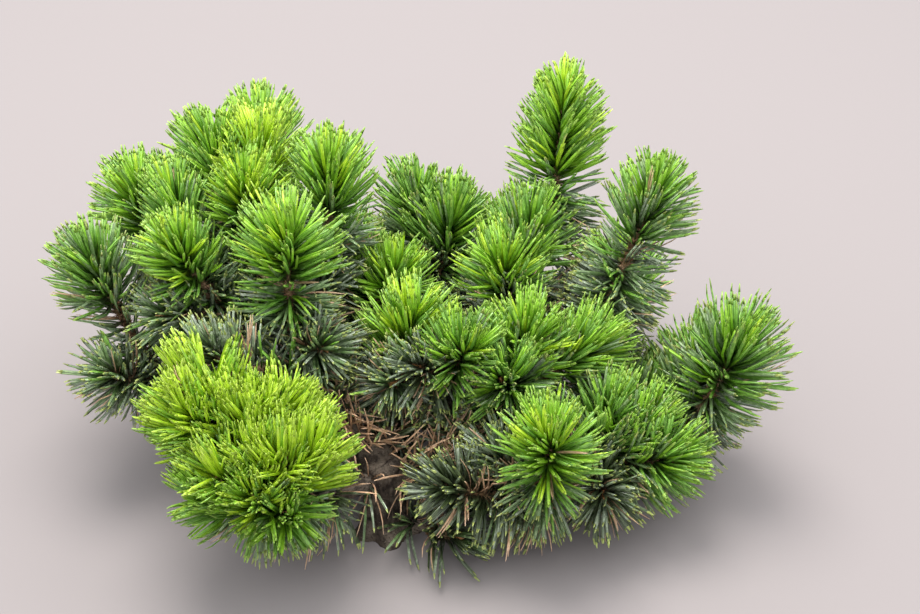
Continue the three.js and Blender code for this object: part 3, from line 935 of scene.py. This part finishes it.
def mesh_from(bm, name):
    bmesh.ops.recalc_face_normals(bm, faces=bm.faces)
    mesh = bpy.data.meshes.new(name)
    bm.to_mesh(mesh)
    bm.free()
    mesh.polygons.foreach_set("use_smooth", np.ones(len(mesh.polygons), bool))
    return mesh


def is_open_edge(part):
    """Whether a part of a growing tube is an edge of its last ring."""
    return isinstance(part, bmesh.types.BMEdge) and all(len(v.link_edges) < 4 for v in part.verts)


def trunk_piece(material):
    """The trunk: leant over, with its foot drawn out into lobes, cut flat at the ground, and a domed head."""
    bm = bmesh.new()
    plate_layer = bm.verts.layers.float.new("plate")
    straight = np.arange(0, TRUNK["height"], TRUNK_RELIEF.ring_gap)
    heights = [*straight, *[TRUNK["height"] + rise for rise in DOME_RINGS]]
    bmesh.ops.create_circle(bm, cap_ends=True, segments=TRUNK_RELIEF.sides, radius=1)
    rim = [e for e in bm.edges if e.is_boundary]
    rings = [list({v for e in rim for v in e.verts})]
    for _ in heights[1:]:
        grown = bmesh.ops.extrude_edge_only(bm, edges=rim)["geom"]
        rim = [part for part in grown if is_open_edge(part)]
        rings.append([part for part in grown if isinstance(part, bmesh.types.BMVert)])
    bmesh.ops.edgeloop_fill(bm, edges=[e for e in bm.edges if e.is_boundary])
    lean = direction(TRUNK["heading"], TRUNK["lean"])
    for height, ring in zip(heights, rings):
        up = height * MM
        for v in ring:
            angle = math.atan2(v.co.y, v.co.x)
            radius = trunk_radius(height, angle)
            lift, plate = bark_height(radius, angle, up, TRUNK_SEED, TRUNK_RELIEF)
            reach = radius + lift
            v.co = (reach * math.cos(angle) + lean[0] * up, reach * math.sin(angle) + lean[1] * up, up)
            v[plate_layer] = plate
    return add_piece("trunk_bark", mesh_from(bm, "trunk_bark"), material)


def trunk_radius(height, angle):
    """The trunk's radius in metres: its taper, its flared and lobed foot, and its domed head."""
    taper = mix(TRUNK["base"], TRUNK["top"], min(height / TRUNK["height"], 1))
    flared = taper + FLARE["out"] * math.exp(-height / FLARE["depth"])
    fade = FLARE["lobe_share"] * math.exp(-height / FLARE["lobe_depth"])
    lobed = flared * (1 + fade * math.cos(FLARE["lobes"] * angle + FLARE["lobe_turn"]))
    over = max(height - TRUNK["height"], 0) / TRUNK["dome"]
    return lobed * math.sqrt(1 - over**2) * MM


def boughs_piece(material):
    """Every bough, run on as far as the fork of its shoots."""
    bm = bmesh.new()
    for seed, (name, limb) in enumerate(limbs.items()):
        if name == "trunk":
            continue
        run_on = Limb(line_through(np.vstack([limb.line.points, fork_of(limb.line)])), limb.base, limb.tip)
        sides = THICK_SIDES if limb.base > THICK_BOUGH else BOUGH_RELIEF.sides
        depth = DEPTH_GAIN * limb.base + BOUGH_RELIEF.depth
        barked_tube(bm, run_on, BOUGH_RELIEF._replace(sides=sides, depth=depth), seed)
    return add_piece("boughs_bark", mesh_from(bm, "boughs_bark"), material)


def shoots_piece(material):
    """The leafy shoots' own stems, knobbly with the feet of their needles."""
    bm = bmesh.new()
    for seed, line in enumerate(shoot_lines, FIRST_SHOOT_SEED):
        barked_tube(bm, Limb(line, *SHOOT_RADII), SHOOT_RELIEF, seed)
    return add_piece("shoot_stems", mesh_from(bm, "shoot_stems"), material)


def spray_of_scales(line, radius, first, last, count, tilt, length):
    """Small scales in a golden spiral along a stretch of a shoot."""
    through = (np.arange(count) + 0.5) / count
    shares = mix(first, last, through)
    point, on, across, aside = walk(line, np.clip(shares, 0, 1))
    angle = (GOLDEN_ANGLE * np.arange(count) + random.normal(0, SCALE_TURN_SWAY, count))[:, None]
    out = np.cos(angle) * across + np.sin(angle) * aside
    opening = np.radians(tilt + random.normal(0, SCALE_TILT_SWAY, count))[:, None]
    aim = np.cos(opening) * on + np.sin(opening) * out
    return {
        "root": point + out * radius * MM * SCALE_ROOT_SHARE,
        "aim": aim,
        "out": square_to(aim, out),
        "length": random.uniform(*SCALE_LENGTHS, count) * length * MM,
        "bend": np.zeros((count, 3)),
    }


def scales_piece(material):
    """Papery brown scales at each fork, round the band between two years' growth, and below the bud."""
    sprays = []
    foot, top = SHOOT_RADII
    fork, tip = FORK_SCALES, TIP_SCALES
    for name, shoots in masses.items():
        for line, _ in shoots:
            length = line.length / MM
            old_end, fresh_start = zone_ends(name, line)
            sprays.append(spray_of_scales(line, foot, 0, fork.run / length, *fork[1:]))
            count = round((fresh_start - old_end) * length * SCALES_PER_MM)
            start = old_end - BAND_OVERLAP / length
            sprays.append(spray_of_scales(line, foot, start, fresh_start, count, BAND_TILT, BAND_LENGTH))
            sprays.append(spray_of_scales(line, top, 1 - tip.run / length, 1, *tip[1:]))
    return scatter("bud_scales", scale_shape(), merge(sprays), SCALE_WIDTH, material)


def pegs_piece(material):
    """The short pegs that fallen needles leave along the boughs and the older stretches of the shoots."""
    sprays = []
    for name, limb in limbs.items():
        if name == "trunk":
            continue
        count = round(limb.line.length / MM * PEGS_PER_MM)
        radius = (limb.base + limb.tip) / 2
        sprays.append(spray_of_scales(limb.line, radius, PEG_START, 1, count, PEG_TILT, BOUGH_PEG))
    for name, shoots in masses.items():
        for line, _ in shoots:
            end = zone_ends(name, line)[0]
            count = round(line.length * end / MM * PEGS_PER_MM)
            sprays.append(spray_of_scales(line, SHOOT_RADII[0], OLD_START, end, count, PEG_TILT, SHOOT_PEG))
    return scatter("needle_pegs", scale_shape(), merge(sprays), PEG_WIDTH, material)


def bud_places():
    """A main bud at each shoot's tip, with a few smaller ones round it."""
    rows = {"root": [], "aim": [], "out": [], "length": [], "bend": [], "width": []}
    for line in shoot_lines:
        tip, on, across, aside = (part[0] for part in walk(line, 1))
        around = random.uniform(0, math.tau)
        for k in range(SIDE_BUDS + 1):
            is_main = k == 0
            angle = around + k * math.tau / SIDE_BUDS
            out = math.cos(angle) * across + math.sin(angle) * aside
            tilt = 0 if is_main else math.radians(random.uniform(*SIDE_BUD_TILTS))
            aim = math.cos(tilt) * on + math.sin(tilt) * out
            length = MAIN_BUD_LENGTH if is_main else random.uniform(*SIDE_BUD_LENGTHS)
            rows["root"].append(tip - on * BUD_SEAT * MM + out * (0 if is_main else SIDE_BUD_OUT) * MM)
            rows["aim"].append(aim)
            rows["out"].append(square_to(aim, out))
            rows["length"].append(length * MM)
            rows["width"].append(MAIN_BUD_WIDTH if is_main else random.uniform(*SIDE_BUD_WIDTHS))
            rows["bend"].append(np.zeros(3))
    return {key: np.array(value) for key, value in rows.items()}


def bud_shape():
    """A bud: plump low down and drawn to a point, with its scales as spiral steps."""
    bm = bmesh.new()
    bmesh.ops.create_uvsphere(bm, u_segments=9, v_segments=7, radius=0.5)
    for v in bm.verts:
        z = v.co.z + 0.5
        angle = math.atan2(v.co.y, v.co.x)
        belly = math.sin(math.pi * z**BUD_BELLY) ** BUD_FULLNESS if 0 < z < 1 else 0
        step = 1 + BUD_STEP * math.cos(BUD_SPIRALS * angle + BUD_TWIST * z)
        ring = v.co.xy.length
        spread = 0 if ring < 1e-6 else 0.5 * belly * step / ring
        v.co = (v.co.x * spread, v.co.y * spread, z)
    return as_template(bm)


def needle_pieces():
    """All the needles, each green joined as a piece of its own, then their lighter tips, painted light on the
    needle ends, and the dead ones.
    """
    grown = grow_needles()
    body = needle_shape(0, TIP_START, 2)
    tip = needle_shape(TIP_START, 1, 1)
    whole = needle_shape(0, 1, 4)
    greens = {}
    for step, (name, tones) in enumerate(GREENS.items()):
        chosen = pick(grown, grown["grade"] == step)
        material = needle_material(name, tones, WAXY_SHEEN if step <= LAST_WAXY_GREEN else FRESH_SHEEN)
        greens[name] = scatter(f"{name}_needles", body, chosen, NEEDLE_WIDTH, material)
    # the lighter tips are painted light: the glow of light at the needle ends
    for name, (first, last, tones) in TIPS.items():
        chosen = pick(grown, (grown["grade"] >= first) & (grown["grade"] <= last))
        scatter(f"{name}s", tip, chosen, NEEDLE_WIDTH, needle_material(name, tones))
    dead = pick(grown, grown["grade"] == DEAD)
    scatter("dead_needles", whole, dead, DEAD_WIDTH, needle_material("straw", STRAW))
    return greens


def floor_piece():
    """A plain pale floor under the plant."""
    bm = bmesh.new()
    bmesh.ops.create_grid(bm, x_segments=1, y_segments=1, size=FLOOR_REACH)
    mesh = bpy.data.meshes.new("floor")
    bm.to_mesh(mesh)
    bm.free()
    material = bpy.data.materials.new("pale_floor")
    material.use_nodes = True
    shader = material.node_tree.nodes["Principled BSDF"]
    shader.inputs["Base Color"].default_value = colour(FLOOR)
    shader.inputs["Roughness"].default_value = FLOOR_ROUGHNESS
    mesh.materials.append(material)
    floor = bpy.data.objects.new("floor", mesh)
    bpy.context.scene.collection.objects.link(floor)


def area_light(name, place, size, power, tint):
    data = bpy.data.lights.new(name, "AREA")
    data.shape = "DISK"
    data.size = size
    data.energy = power
    data.color = tint
    lamp = bpy.data.objects.new(name, data)
    lamp.location = place
    lamp.rotation_mode = "QUATERNION"
    lamp.rotation_quaternion = (Vector(LIGHT_AIM) - Vector(place)).to_track_quat("-Z", "Y")
    bpy.context.scene.collection.objects.link(lamp)


def set_light():
    """Soft daylight from high behind, with a pale sky all round that looks like the floor's far end."""
    world = bpy.data.worlds.new("studio")
    bpy.context.scene.world = world
    world.use_nodes = True
    nodes = Nodes(world.node_tree)
    way = nodes.add("ShaderNodeSeparateXYZ", {"Vector": nodes.add("ShaderNodeTexCoord").outputs["Generated"]})
    strength = ranged(nodes, way.outputs["Z"], 0.0, 1.0, SKY_LOW, SKY_HIGH)
    sky = nodes.add("ShaderNodeBackground", {"Color": SKY, "Strength": strength}).outputs["Background"]
    haze = nodes.add("ShaderNodeBackground", {"Color": colour(HAZE)}).outputs["Background"]
    first_look = nodes.add("ShaderNodeLightPath").outputs["Is Camera Ray"]
    choice = nodes.add("ShaderNodeMixShader", {0: first_look, 1: sky, 2: haze})
    output = world.node_tree.nodes["World Output"]
    world.node_tree.links.new(choice.outputs["Shader"], output.inputs["Surface"])
    for name, light in LIGHTS.items():
        area_light(name, *light)
    bpy.context.scene.view_settings.view_transform = "Standard"


def set_camera():
    data = bpy.data.cameras.new("camera")
    data.lens = LENS
    data.sensor_width = SENSOR_WIDTH
    camera = bpy.data.objects.new("camera", data)
    back = Vector((0, -math.cos(CAMERA_ELEVATION), math.sin(CAMERA_ELEVATION)))
    camera.location = CAMERA_AIM + back * CAMERA_DISTANCE
    camera.rotation_mode = "QUATERNION"
    camera.rotation_quaternion = (-back).to_track_quat("-Z", "Y")
    bpy.context.scene.collection.objects.link(camera)
    bpy.context.scene.camera = camera


def build_plant():
    barks = {name: bark_material(name, *finish) for name, finish in BARKS.items()}
    trunk = trunk_piece(barks["shaded_old_bark"])
    boughs = boughs_piece(barks["shaded_old_bark"])
    shoots_piece(barks["young_bark"])
    scales_piece(barks["scale_brown"])
    pegs_piece(barks["peg_brown"])
    buds = bud_places()
    scatter("buds", bud_shape(), buds, buds["width"], barks["bud_brown"])
    needles = needle_pieces()
    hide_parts("trunk")
    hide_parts(*[f"{name}_bough" for name in BOUGHS])
    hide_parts(*[f"{name}_needles" for name in MASSES])


build_plant()
floor_piece()
set_light()
set_camera()
